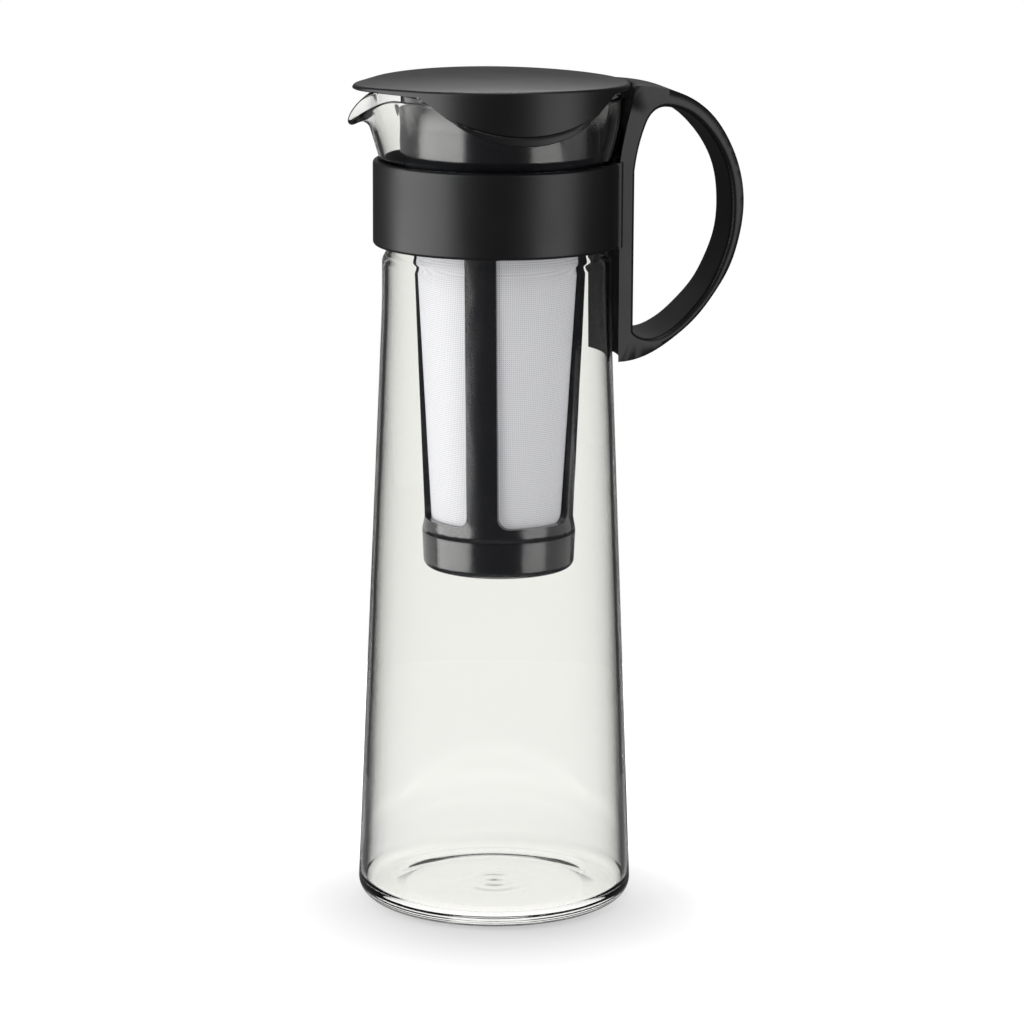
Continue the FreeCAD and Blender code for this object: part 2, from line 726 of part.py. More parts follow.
def make_strainer_frame():
    """Moulded frame: plain ring, hangers for the rim, four ribs and a spigot for the cap."""
    body = new_body("strainer_frame", "strainer_sit")
    steepness = "(mesh_taper / window_length)"
    spigot_out = "(cap_radius - cap_wall - cap_gap)"
    profile = new_sketch(body, "strainer_profile", "XZ_Plane")
    draw(profile, [
        (f"{spigot_out} - spigot_wall", "spigot_top - spigot_length"),
        (spigot_out, "spigot_top - spigot_length"),
        (spigot_out, "spigot_top"),
        ("cap_radius", "spigot_top"),
        ("basket_low", "window_low"),
        ("basket_top", "window_top"),
        ("basket_top + ring_step / 2", "window_top + cone_foot"),
        ("ring_radius - ring_step", "ring_low - ring_step"),
        ("ring_radius", "ring_low"),
        ("ring_radius", "strainer_seat"),
        ("bead_radius", "strainer_seat"),
        ("bead_radius", "strainer_top"),
        ("ring_radius - strainer_wall", "strainer_top"),
        ("ring_radius - strainer_wall", "ring_low"),
        ("ring_radius - strainer_wall - ring_step", "ring_low - ring_step"),
        (f"mesh_top + {steepness} * cone_foot", "window_top + cone_foot"),
        (f"mesh_low - {steepness} * sill_height / 2", "window_low - sill_height / 2"),
    ])
    revolve(body, profile)
    for side in (90, 270):
        hanger = new_sketch(body, f"hanger_{side}", "XZ_Plane", str(side))
        draw(hanger, [
            ("ring_radius - strainer_wall / 2", "strainer_seat"),
            ("hanger_radius", "strainer_seat"),
            ("hanger_radius", "strainer_top"),
            ("ring_radius - strainer_wall / 2", "strainer_top"),
        ])
        revolve(body, hanger, "hanger_span")
    window = new_sketch(body, "window", "XY_Plane", "strainer_turn + 45", "window_low")
    draw(window, [
        ("rib_width / 2", "rib_width / 2"),
        ("ring_radius + cut_past", "rib_width / 2"),
        ("ring_radius + cut_past", "ring_radius + cut_past"),
        ("rib_width / 2", "ring_radius + cut_past"),
    ])
    hole = pocket(body, window, "window_length", reversed_way=True)
    pattern = body.newObject("PartDesign::PolarPattern", "windows")
    pattern.Originals = [hole]
    pattern.Axis = (window, ["N_Axis"])
    pattern.Angle = 360
    pattern.Occurrences = 4
    body.Tip = pattern
    doc.recompute()
    slant = math.radians(number("strainer_turn + 45"))
    half = number("rib_width / 2")
    levels = number("window_low"), number("window_top")

    def corner(point):
        across = point.x * math.cos(slant) + point.y * math.sin(slant)
        along = point.y * math.cos(slant) - point.x * math.sin(slant)
        level = near(point.z, levels[0]) or near(point.z, levels[1])
        return level and (near(abs(across), half) or near(abs(along), half))

    fillet(body, corner, "window_corner")
    return body


def make_mesh_panel(index):
    """Panel of woven mesh behind one window, bonded to the inside of the ribs."""
    body = new_body(f"mesh_panel_{index + 1}", "strainer_sit")
    steepness = "(mesh_taper / window_length)"
    outer_top = f"(mesh_top + {steepness} * mesh_border - mesh_gap)"
    outer_low = f"(mesh_low - {steepness} * mesh_border - mesh_gap)"
    turn = f"strainer_turn + {90 * index}"
    section = new_sketch(body, f"mesh_section_{index + 1}", "XZ_Plane", turn)
    draw(section, [
        (f"{outer_low} - mesh_thickness", "window_low - mesh_border"),
        (outer_low, "window_low - mesh_border"),
        (outer_top, "window_top + mesh_border"),
        (f"{outer_top} - mesh_thickness", "window_top + mesh_border"),
    ])
    revolve(body, section, "mesh_span")
    return body


def make_strainer_cap():
    """Cup that closes the strainer's foot and pulls off its spigot."""
    body = new_body("strainer_cap", "strainer_sit")
    profile = new_sketch(body, "cap_profile", "XZ_Plane")
    draw(profile, [
        ("0", "cap_low"),
        ("cap_radius - cap_draft", "cap_low"),
        ("cap_radius", "cap_top"),
        ("cap_radius - cap_wall", "cap_top"),
        ("cap_radius - cap_wall", "cap_low + cap_floor"),
        ("0", "cap_low + cap_floor"),
    ])
    revolve(body, profile)
    low = number("cap_low")
    rim = number("cap_radius - cap_draft")
    fillet(body, lambda point: near(point.z, low) and near(reach(point), rim), "cap_round")
    return body


# ---------------------------------------------------------------- build, check and export

pieces = [
    make_glass_pot(),
    make_neck_collar(),
    make_handle(),
    make_lid(),
    make_strainer_frame(),
    *[make_mesh_panel(index) for index in range(4)],
    make_strainer_cap(),
]
doc.recompute()

failed = [item.Name for item in doc.Objects if {"Invalid", "Error"} & set(item.State)]
if failed:
    raise RuntimeError("failed objects: " + ", ".join(failed))
for piece in pieces:
    if piece.Shape.isNull() or not piece.Shape.isValid():
        raise RuntimeError(piece.Label + " has no valid shape")
    if len(piece.Shape.Solids) != 1:
        raise RuntimeError(piece.Label + " is not one solid")

os.makedirs("parts", exist_ok=True)
for piece in pieces:
    piece.Shape.exportStep(f"parts/{piece.Label}.step")
    box = piece.Shape.BoundBox
    print(f"{piece.Label}: {piece.Shape.Volume / 1000:.2f} ml, {len(piece.Shape.Faces)} faces,"
          f" X {box.XMin:.1f}..{box.XMax:.1f} Z {box.ZMin:.1f}..{box.ZMax:.1f}")
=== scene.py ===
import math

import bmesh
import bpy
import numpy as np
from bpy.props import FloatProperty, FloatVectorProperty, PointerProperty
from mathutils import Matrix, Vector


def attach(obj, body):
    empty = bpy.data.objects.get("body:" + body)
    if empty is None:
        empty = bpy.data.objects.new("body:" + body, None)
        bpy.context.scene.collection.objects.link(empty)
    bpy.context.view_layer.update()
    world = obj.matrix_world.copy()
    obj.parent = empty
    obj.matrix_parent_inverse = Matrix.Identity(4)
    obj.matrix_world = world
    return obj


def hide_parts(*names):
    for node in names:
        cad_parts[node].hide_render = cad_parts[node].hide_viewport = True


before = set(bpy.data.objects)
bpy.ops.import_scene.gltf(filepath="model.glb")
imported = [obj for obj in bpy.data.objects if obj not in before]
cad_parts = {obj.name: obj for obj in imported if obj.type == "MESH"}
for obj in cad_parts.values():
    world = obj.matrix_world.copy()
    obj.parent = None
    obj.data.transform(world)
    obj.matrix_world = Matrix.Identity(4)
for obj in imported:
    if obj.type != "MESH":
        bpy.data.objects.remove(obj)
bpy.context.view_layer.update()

bl_info = {
    "name": "Cold Brew Coffee Maker",
    "version": (1, 0, 0),
    "blender": (4, 5, 0),
    "location": "View3D > Sidebar > Coffee Maker",
    "description": "Dresses a glass cold brew pot with its strainer, lid, collar and handle",
    "category": "Object",
}


def linear(code):
    """A colour written as an sRGB hex code, turned to linear red, green and blue."""
    parts = np.array([int(code[place:place + 2], 16) for place in (1, 3, 5)]) / 255
    return tuple(np.where(parts <= 0.04045, parts / 12.92, ((parts + 0.055) / 1.055) ** 2.4))


# -------------------- settings

# Each function makes a property. An angle's default is given in degrees, a colour's as a hex code.

def length(name, description, default):
    return FloatProperty(name=name, description=description, default=default,
                         min=0.0, subtype="DISTANCE", unit="LENGTH", precision=5)


def angle(name, description, degrees):
    return FloatProperty(name=name, description=description, default=math.radians(degrees),
                         subtype="ANGLE", unit="ROTATION")


def colour(name, description, code):
    return FloatVectorProperty(name=name, description=description, default=linear(code),
                               size=3, min=0.0, max=1.0, subtype="COLOR")


def share(name, description, default):
    return FloatProperty(name=name, description=description, default=default,
                         min=0.0, max=1.0, subtype="FACTOR")


def power(name, description, default):
    return FloatProperty(name=name, description=description, default=default,
                         min=0.0, subtype="POWER", unit="POWER")


class CoffeeGlass(bpy.types.PropertyGroup):
    base_radius: length("Base", "Outer radius just above the heel", 0.04899)
    heel: length("Heel", "Rounding between the foot and the wall", 0.006)
    foot_radius: length("Foot", "Inner radius of the ring that the pot stands on", 0.0365)
    foot_slope: length("Foot Slope", "Distance from the foot ring in to the flat recess", 0.005)
    foot_round: length("Foot Rounding", "Rounding where the foot ring meets its slope", 0.02)
    base_recess: length("Recess", "Height of the hollow inside the foot ring", 0.0005)
    mark_radius: length("Swirl", "Radius of the rings in the middle of the floor", 0.016)
    ring_spacing: length("Ring Spacing", "Distance from ring to ring in the swirl", 0.0066)
    ring_height: length("Ring Height", "Height of the rings in the swirl", 0.00012)
    floor: length("Floor", "Thickness of the glass floor", 0.004)
    inner_heel: length("Inner Heel", "Rounding inside, between floor and wall", 0.0045)
    wall: length("Wall", "Thickness of the blown wall", 0.002)
    shoulder_radius: length("Shoulder", "Outer radius of the band below the neck", 0.0402)
    taper_height: length("Taper Top", "Height where the tapered wall ends", 0.216)
    taper_blend: length("Taper Blend", "Half length of the bend above the taper", 0.0085)
    shoulder_height: length("Shoulder Foot", "Height where the step to the neck starts", 0.230)
    neck_radius: length("Neck", "Outer radius of the neck", 0.0388)
    neck_foot: length("Neck Foot", "Height where the neck starts", 0.2345)
    flare_foot: length("Flare Foot", "Height where the neck starts to flare", 0.256)
    rim_radius: length("Rim", "Outer radius of the rim", 0.0446)
    rim_height: length("Rim Height", "Height of the rim", 0.2888)
    spout_reach: length("Spout Reach", "Distance of the spout's lip from the axis", 0.0526)
    spout_height: length("Spout Height", "Height of the spout's lip", 0.2796)
    spout_angle: angle("Spout Half Width", "How far round the rim the pull reaches each way", 27)
    wave_spacing: length("Wave Spacing", "Distance from wave to wave in the wall", 1 / 38)
    tint: colour("Glass", "Colour of clear borosilicate seen straight through", "#fefefb")


class CoffeeLid(bpy.types.PropertyGroup):
    radius: length("Radius", "Outer radius of the lid", 0.0464)
    beak_reach: length("Beak", "Distance of the beak's tip from the axis", 0.0509)
    beak_nose: length("Beak Nose", "Radius of the beak's tip seen from above", 0.024)
    under: length("Underside", "Height of the underside", 0.2912)
    top: length("Top", "Height of the middle of the top", 0.294)
    crown: length("Crown", "Radius of the top's curve from beak to handle", 1.0)
    edge: length("Top Edge", "Rounding of the upper edge", 0.0013)
    beak_edge: length("Beak Edge", "Rounding under the beak", 0.0007)
    skirt_wall: length("Skirt Wall", "Thickness of the skirts", 0.0009)
    skirt_low: length("Skirt Low", "Height of the skirts' lowest point", 0.2754)
    skirt_half: length("Skirt Half Width", "Half width of a skirt seen from its side", 0.0345)
    skirt_arc: length("Skirt Arc", "Radius of a skirt's lower edge", 0.0425)
    arc_share: share("Arc Share", "Share of a skirt's half width that the arc takes up", 0.83)
    lift_half: length("Lift Half Width", "Half width of the finger lift", 0.0246)
    lift_height: length("Lift Height", "Height of the finger lift in its middle", 0.0035)
    lift_arc: length("Lift Arc", "Radius of the crease above the finger lift", 0.059)
    lift_depth: length("Lift Depth", "How far the finger lift stands out", 0.0009)
    lift_fade: length("Lift Fade", "Distance over which the finger lift dies out", 0.0035)
    groove: length("Groove", "Depth of the groove above the finger lift", 0.0006)
    sleeve_radius: length("Sleeve", "Outer radius of the locating sleeve", 0.0315)
    sleeve_wall: length("Sleeve Wall", "Thickness of the sleeve", 0.0015)
    sleeve_length: length("Sleeve Length", "How far the sleeve reaches down", 0.008)


class CoffeeStrainer(bpy.types.PropertyGroup):
    sit: length("Sit", "How far the strainer sits off the pot's axis", 0.0012)
    turn: angle("Turn", "Turn of the first mesh panel about the axis", 18.9)
    mesh_low: length("Mesh Foot Radius", "Outer radius of the mesh at its foot", 0.02387)
    mesh_top: length("Mesh Top Radius", "Outer radius of the mesh at its top", 0.02968)
    foot_height: length("Mesh Foot", "Height of the foot of the mesh", 0.1375)
    top_height: length("Mesh Top", "Height of the top of the mesh", 0.2405)
    span: angle("Panel Span", "How far round one panel reaches", 73)
    thickness: length("Mesh Thickness", "Thickness of the woven mesh", 0.0004)
    thread: length("Thread Spacing", "Distance between threads as drawn", 0.0007)
    mesh: colour("Mesh", "Colour of the polyester threads", "#fafafd")


class CoffeePlastic(bpy.types.PropertyGroup):
    satin: colour("Satin Black", "Colour of lid, collar and handle", "#101012")
    gloss: colour("Smooth Black", "Colour of the strainer's frame and cap", "#131419")
    satin_roughness: share("Satin Roughness", "Roughness of lid, collar and handle", 0.38)
    gloss_roughness: share("Smooth Roughness", "Roughness of the strainer's frame and cap", 0.22)
    grain: length("Grain", "Width of the grain that the mould leaves", 0.0008)
    patch: length("Patches", "Width of the slow changes in the sheen", 1 / 45)


class CoffeeStage(bpy.types.PropertyGroup):
    azimuth: angle("Azimuth", "Camera's direction round the pot", -13)
    distance: length("Distance", "Camera's distance from the axis", 1.35821)
    height: length("Height", "Camera's height above the floor", 0.42944)
    tilt: FloatProperty(name="Tilt", description="How far the camera looks down", default=0.21,
                        subtype="ANGLE", unit="ROTATION")
    roll: FloatProperty(name="Roll", description="Camera's turn about its own line of sight",
                        default=0.0041, subtype="ANGLE", unit="ROTATION")
    lens: FloatProperty(name="Lens", description="Focal length in millimetres on a 36 mm sensor",
                        default=137.19, unit="CAMERA")
    shift: FloatProperty(name="Shift", description="Sideways shift of the frame", default=0.01607)
    floor_radius: length("Floor", "Radius of the pale floor", 0.34)
    floor: colour("Floor", "Colour of the floor", "#b4b4b4")
    left_power: power("Left Softbox", "Power of the softbox on the spout's side", 19.5)
    right_power: power("Right Softbox", "Power of the softbox on the handle's side", 6.0)
    top_power: power("Top Softbox", "Power of the softbox overhead", 4.0)
    back_power: power("Back Light", "Power of the strip behind that lights the lid's top", 0.026)
    left_card: power("Left Card", "Power of the card that the strainer mirrors on the left", 3.4)
    right_card: power("Right Card", "Power of the card that the strainer mirrors on the right", 2.6)


GROUPS = {
    "coffee_glass": CoffeeGlass,
    "coffee_lid": CoffeeLid,
    "coffee_strainer": CoffeeStrainer,
    "coffee_plastic": CoffeePlastic,
    "coffee_stage": CoffeeStage,
}


# -------------------- surfaces

# Points closer together than this are welded into one.
WELD_DISTANCE = 2e-6


def rounded_path(corners, step=0.004):
    """Points along straight runs whose corners (x, y, radius) are rounded by arcs.

    An arc turns the direction from its centre evenly between its two tangent points; runs are
    divided so that no two points lie further apart than a step.
    """
    places = np.array([corner[:2] for corner in corners], float)
    parts = [places[:1]]
    for index in range(1, len(corners) - 1):
        back = places[index - 1] - places[index]
        ahead = places[index + 1] - places[index]
        back = back / np.linalg.norm(back)
        ahead = ahead / np.linalg.norm(ahead)
        radius = corners[index][2]
        if radius == 0:
            parts.append(places[index:index + 1])
            continue
        half = math.acos(float(np.clip(back @ ahead, -1, 1))) / 2
        middle = (back + ahead) / np.linalg.norm(back + ahead)
        centre = places[index] + middle * radius / math.sin(half)
        start = places[index] + back * radius / math.tan(half) - centre
        end = places[index] + ahead * radius / math.tan(half) - centre
        sweep = math.pi - 2 * half
        t = np.linspace(0, 1, max(3, math.ceil(math.degrees(sweep) / 7)) + 1)[:, None]
        parts.append(centre + (np.sin((1 - t) * sweep) * start + np.sin(t * sweep) * end)
                     / math.sin(sweep))
    parts.append(places[-1:])
    path = np.concatenate(parts)
    runs = np.concatenate([[0], np.cumsum(np.linalg.norm(np.diff(path, axis=0), axis=1))])
    pieces = np.maximum(np.ceil(np.diff(runs) / step - 1e-6).astype(int), 1)
    index = np.repeat(np.arange(len(pieces)), pieces)
    within = np.arange(len(index)) - np.repeat(np.cumsum(pieces) - pieces, pieces)
    t = (within / pieces[index])[:, None]
    points = path[index] * (1 - t) + path[index + 1] * t
    return np.concatenate([points, path[-1:]])


def spline_rows(points, first, last, count):
    """Cubic splines through rows of points, with the directions at both ends given.

    The parameter is the chord length. Slopes at the points come from one linear system a row,
    and each stretch is the cubic with those slopes. Returns places and unit directions.
    """
    chords = np.linalg.norm(np.diff(points, axis=1), axis=2)
    rows, knots = points.shape[:2]
    system = np.zeros((rows, knots, knots))
    wanted = np.zeros_like(points)
    inner = np.arange(1, knots - 1)
    before, after = chords[:, :-1], chords[:, 1:]
    system[:, 0, 0] = system[:, -1, -1] = 1
    system[:, inner, inner - 1] = after
    system[:, inner, inner] = 2 * (before + after)
    system[:, inner, inner + 1] = before
    rise = np.diff(points, axis=1) / chords[:, :, None]
    wanted[:, 0], wanted[:, -1] = first, last
    wanted[:, 1:-1] = 3 * (after[:, :, None] * rise[:, :-1] + before[:, :, None] * rise[:, 1:])
    slopes = np.linalg.solve(system, wanted)
    at = np.concatenate([np.zeros((rows, 1)), np.cumsum(chords, axis=1)], axis=1)
    along = np.linspace(0, 1, count)[None, :] * at[:, -1:]
    stretch = (along[:, :, None] >= at[:, None, 1:-1]).sum(axis=2)
    row = np.arange(rows)[:, None]
    width = chords[row, stretch][:, :, None]
    t = (along - at[row, stretch])[:, :, None] / width
    p, q = points[row, stretch], points[row, stretch + 1]
    m, n = slopes[row, stretch] * width, slopes[row, stretch + 1] * width
    place = ((2 * t ** 3 - 3 * t ** 2 + 1) * p + (t ** 3 - 2 * t ** 2 + t) * m
             + (3 * t ** 2 - 2 * t ** 3) * q + (t ** 3 - t ** 2) * n)
    way = ((6 * t ** 2 - 6 * t) * (p - q) + (3 * t ** 2 - 4 * t + 1) * m
           + (3 * t ** 2 - 2 * t) * n)
    return place, way / np.linalg.norm(way, axis=2, keepdims=True)


def smooth_object(name, mesh, sharp, mend=False):
    """An object of a mesh, welded, and smooth but for edges sharper than an angle in degrees.

    Mending also drops the faces that a pole leaves without area and turns all faces outwards.
    """
    work = bmesh.new()
    work.from_mesh(mesh)
    bmesh.ops.remove_doubles(work, verts=work.verts, dist=WELD_DISTANCE)
    if mend:
        bmesh.ops.dissolve_degenerate(work, edges=work.edges, dist=1e-7)
        if work.calc_volume(signed=True) < 0:
            bmesh.ops.reverse_faces(work, faces=work.faces)
    work.to_mesh(mesh)
    work.free()
    mesh.shade_smooth()
    mesh.set_sharp_from_angle(angle=math.radians(sharp))
    piece = bpy.data.objects.new(name, mesh)
    bpy.context.scene.collection.objects.link(piece)
    return piece


def grid_object(name, points, wrap_rows=False, wrap_columns=False, uv=None, marks=None, sharp=40):
    """Object of quads over a grid of points (rows, columns, 3), closed where it wraps.

    A row that shrinks to one point is welded into a pole. Marks are named numbers, one a row,
    which the points keep as attributes for the material.
    """
    rows, columns = points.shape[:2]
    r = np.arange(rows if wrap_rows else rows - 1)[:, None]
    c = np.arange(columns if wrap_columns else columns - 1)[None, :]
    r_next, c_next = (r + 1) % rows, (c + 1) % columns
    faces = np.stack([r * columns + c, r * columns + c_next,
                      r_next * columns + c_next, r_next * columns + c], axis=-1).reshape(-1, 4)
    mesh = bpy.data.meshes.new(name)
    mesh.vertices.add(rows * columns)
    mesh.vertices.foreach_set("co", np.ascontiguousarray(points, np.float32).ravel())
    mesh.loops.add(faces.size)
    mesh.loops.foreach_set("vertex_index", faces.astype(np.int32).ravel())
    mesh.polygons.add(len(faces))
    mesh.polygons.foreach_set("loop_start", np.arange(0, faces.size, 4, dtype=np.int32))
    mesh.update(calc_edges=True)
    if uv is not None:
        layer = mesh.uv_layers.new(name="weave")
        layer.data.foreach_set("uv", uv.reshape(-1, 2)[faces].astype(np.float32).ravel())
    for mark, values in (marks or {}).items():
        layer = mesh.attributes.new(mark, "FLOAT", "POINT")
        layer.data.foreach_set("value", np.repeat(values, columns).astype(np.float32))
    return smooth_object(name, mesh, sharp, mend=True)


def smooth_copy(node, sharp=32):
    """A welded copy of a CAD node, smooth across its curved faces and sharp at real edges."""
    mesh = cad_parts[node].data.copy()
    mesh.name = node + "_moulded"
    mesh.materials.clear()
    piece = smooth_object(mesh.name, mesh, sharp)
    even = piece.modifiers.new("Even Shading", "WEIGHTED_NORMAL")
    even.keep_sharp = True
    even.weight = 80
    return piece


def dress(piece, material, body, slot, *nodes):
    """Give a piece its material, let it ride on its body and stand for its CAD nodes."""
    piece.data.materials.append(material)
    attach(piece, body)
    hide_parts(*nodes)


# Shares of the flare's growth outward and upward, all round and along the spout's middle.
PLAIN_WALL = np.array([(0, 0), (0.10, 0.152), (0.33, 0.305), (0.57, 0.46),
                       (0.77, 0.63), (0.91, 0.79), (0.97, 0.89), (1, 0.9695)])
SPOUT_WALL = np.array([(0, 0), (0.045, 0.208), (0.158, 0.417), (0.272, 0.629),
                       (0.39, 0.842), (0.52, 0.982), (0.72, 1.022), (0.913, 0.979)])
# Power of the spout's blend that keeps the rim level for longer before it drops to the lip.
DROP_POWER = 1.4
# Share of the painted dark line at the foot, its loss a metre of height, and the least in wall and
# flare.
PAINTED_LINE_AT_FOOT, PAINTED_LINE_FALL, PAINTED_LINE_LEAST, PAINTED_LINE_IN_FLARE = 1.2, 7.0, 0.3, 0.1
# Heights where the base's thick glass ends and the rim's starts, each with its fade.
BASE_TOP, BASE_FADE, RIM_FOOT, RIM_FADE = 0.006, 0.004, 0.278, 0.005
# Columns round the spout and round the rest of the pot, rows of the flare, the lip and the swirl.
SPOUT_COLUMNS, PLAIN_COLUMNS, FLARE_ROWS, LIP_ROWS, SWIRL_ROWS = 72, 204, 44, 9, 60


def floor_swirl(size):
    """Profile of the low rings that blowing leaves in the middle of the floor.

    The height is one cosine wave a ring, and falls to nothing with the square of the radius.
    """
    out = np.linspace(size.mark_radius, 0, SWIRL_ROWS + 1)
    rings = 0.5 + 0.5 * np.cos(2 * math.pi * out / size.ring_spacing)
    fall = 1 - (out / size.mark_radius) ** 2
    return np.stack([out, size.floor + size.ring_height * rings * fall], axis=1)


def lower_profiles(size):
    """Outside of the pot from the foot up to the flare, and inside from there to the floor.

    Both are straight runs joined by arcs. The shoulder's step is two arcs of one radius that
    meet half way, each of which turns in by half of the step's width over half of its height.
    """
    lean = (size.base_radius - size.shoulder_radius) / (size.taper_height - size.heel)
    bend = size.taper_blend / math.tan(math.atan(lean) / 2)
    step_in = size.shoulder_radius - size.neck_radius
    step_up = size.neck_foot - size.shoulder_height
    swing = (step_up ** 2 + step_in ** 2) / (4 * step_in)
    knee = swing * step_in / step_up
    inner_base = size.base_radius - size.wall - lean * (size.floor - size.heel)
    outside = rounded_path([
        (0, size.base_recess, 0),
        (size.foot_radius - size.foot_slope, size.base_recess, size.foot_round),
        (size.foot_radius, 0, size.foot_round),
        (size.base_radius + lean * size.heel, 0, size.heel),
        (size.shoulder_radius, size.taper_height, bend),
        (size.shoulder_radius, size.shoulder_height + knee, swing),
        (size.neck_radius, size.neck_foot - knee, swing),
        (size.neck_radius, size.flare_foot, 0),
    ])
    inside = rounded_path([
        (size.neck_radius - size.wall, size.flare_foot, 0),
        (size.neck_radius - size.wall, size.neck_foot - knee, swing),
        (size.shoulder_radius - size.wall, size.shoulder_height + knee, swing),
        (size.shoulder_radius - size.wall, size.taper_height, bend),
        (inner_base, size.floor, size.inner_heel),
        (size.mark_radius, size.floor, 0),
    ])
    return outside, np.concatenate([inside, floor_swirl(size)[1:]])


def flare_profiles(size, turn):
    """Outside, lip and inside of the flare with its spout, one row a column of the pot.

    The outside is a spline whose points blend from the plain flare to the spout by the square
    of a cosine of the angle from the spout, taken to a power for their height. The inside is
    that spline moved in by the wall, and a half circle joins the two.
    """
    near_spout = np.clip(np.abs((turn + math.pi) % (2 * math.pi) - math.pi)
                         / size.spout_angle, 0, 1)
    growth = (np.cos(near_spout * math.pi / 2) ** 2)[:, None, None]
    mix = np.concatenate([growth, growth ** DROP_POWER], axis=2)
    start = np.array([size.neck_radius, size.flare_foot])
    plain_wall = PLAIN_WALL * (np.array([size.rim_radius, size.rim_height]) - start)
    spout_wall = SPOUT_WALL * (np.array([size.spout_reach, size.spout_height]) - start)
    knots = start + (1 - mix) * plain_wall + mix * spout_wall
    last = knots[:, -1] - knots[:, -2]
    last = last / np.linalg.norm(last, axis=1, keepdims=True)
    wall, way = spline_rows(knots, np.array([0.0, 1.0]), last, FLARE_ROWS)
    inward = np.stack([-way[:, :, 1], way[:, :, 0]], axis=2)
    lining = wall + inward * size.wall
    half_turn = np.linspace(0, math.pi, LIP_ROWS + 2)[1:-1][None, :, None]
    lip = ((wall[:, -1:] + lining[:, -1:]) / 2 + size.wall / 2
           * (np.sin(half_turn) * way[:, -1:] - np.cos(half_turn) * inward[:, -1:]))
    return wall, lip, lining[:, ::-1]


def glass_marks(size, level, lined):
    """How much each row counts as lining, whose painted dark line falls off at the floor's
    rounding, up the wall and up the neck, and how much as an end: the thick glass of base and rim."""
    neck = (level - size.neck_foot) / (size.flare_foot - size.neck_foot)
    lining = (lined * np.clip((level - size.floor) / size.inner_heel, 0, 1)
              * np.clip(PAINTED_LINE_AT_FOOT - PAINTED_LINE_FALL * level, PAINTED_LINE_LEAST, 1)
              * np.clip(1 - neck, PAINTED_LINE_IN_FLARE, 1))
    ends = (np.clip(1 - (level - BASE_TOP) / BASE_FADE, 0, 1)
            + np.clip((level - RIM_FOOT) / RIM_FADE, 0, 1))
    return {"lining": lining, "ends": ends}


def glass_points(size):
    """Grid of the pot's surface: one closed profile a column, turned about the axis.

    Columns stand closer round the spout. Rows run up the outside, over the lip and down the
    inside, and all but those of the flare are the same in every column.
    """
    outside, inside = lower_profiles(size)
    pulled = np.linspace(-size.spout_angle, size.spout_angle, SPOUT_COLUMNS + 1)[:-1]
    plain = np.linspace(size.spout_angle, 2 * math.pi - size.spout_angle, PLAIN_COLUMNS + 1)[:-1]
    turn = np.concatenate([pulled, plain])
    wall, lip, lining = flare_profiles(size, turn)
    profile = np.concatenate([
        np.broadcast_to(outside[:-1], (len(turn), len(outside) - 1, 2)),
        wall, lip, lining,
        np.broadcast_to(inside[1:], (len(turn), len(inside) - 1, 2)),
    ], axis=1)
    radius, height = profile[:, :, 0].T, profile[:, :, 1].T
    past_lip = len(outside) - 1 + FLARE_ROWS + LIP_ROWS // 2 + 2
    marks = glass_marks(size, height.mean(axis=1), np.arange(len(radius)) >= past_lip)
    return np.stack([-radius * np.cos(turn), -radius * np.sin(turn), height], axis=2), marks


# Power that crowds the rows of the lid's top towards its edge.
TOP_CROWDING = 1.6
# Rows of the finger lift: share of the way down, share of the lean and share of the groove.
LIFT_ROWS = np.array([(0.03, 0, 1), (0.3, 0.35, 0), (0.55, 0.55, 0), (0.78, 0.78, 0), (1, 1, 0)])


def ramp(count, first=0.0, last=1.0):
    """A column of evenly spaced numbers."""
    return np.linspace(first, last, count)[:, None]


def lid_reach(size, turn):
    """How far the lid reaches at each angle: its circle joined to the beak's by two tangents."""
    off_beak = np.abs((turn + math.pi) % (2 * math.pi) - math.pi)
    centre = size.beak_reach - size.beak_nose
    tangent = math.acos((size.radius - size.beak_nose) / centre)
    nose_end = math.atan2(size.beak_nose * math.sin(tangent),
                          centre + size.beak_nose * math.cos(tangent))
    nose = centre * np.cos(off_beak) + np.sqrt(np.clip(
        size.beak_nose ** 2 - (centre * np.sin(off_beak)) ** 2, 0, None))
    side = size.radius / np.cos(np.minimum(off_beak - tangent, 0))
    return np.where(off_beak < nose_end, nose, side)


def lid_plate(size, turn):
    """Rows of the plate as radius and height, from the middle of its top round to the skirts.

    The top is a cylinder of large radius across the spout's direction. A quarter circle rounds
    its edge, and another one the beak from below, growing with how far the beak stands out.
    """
    reach = lid_reach(size, turn)

    def crown(radius):
        return size.top - size.crown + np.sqrt(size.crown ** 2 - (radius * np.cos(turn)) ** 2)

    top = (1 - (1 - ramp(18)) ** TOP_CROWDING) * (reach - size.edge)
    edge_top = crown(reach - size.edge)
    beaked = np.clip((reach - size.radius) / (3 * size.beak_edge), 0, 1)
    under_round = size.beak_edge * beaked
    round_off = ramp(9, 0, math.pi / 2)[1:]
    tuck = ramp(6, 0, math.pi / 2)[1:]
    run = ramp(4)[1:]
    return [
        (top, crown(top)),
        (reach - size.edge + size.edge * np.sin(round_off),
         edge_top - size.edge + size.edge * np.cos(round_off)),
        (reach, (edge_top - size.edge) * (1 - run) + (size.under + under_round) * run),
        (reach - under_round * (1 - np.cos(tuck)),
         size.under + under_round * (1 - np.sin(tuck))),
        ((reach - under_round) * (1 - run) + size.radius * run, size.under),
    ]


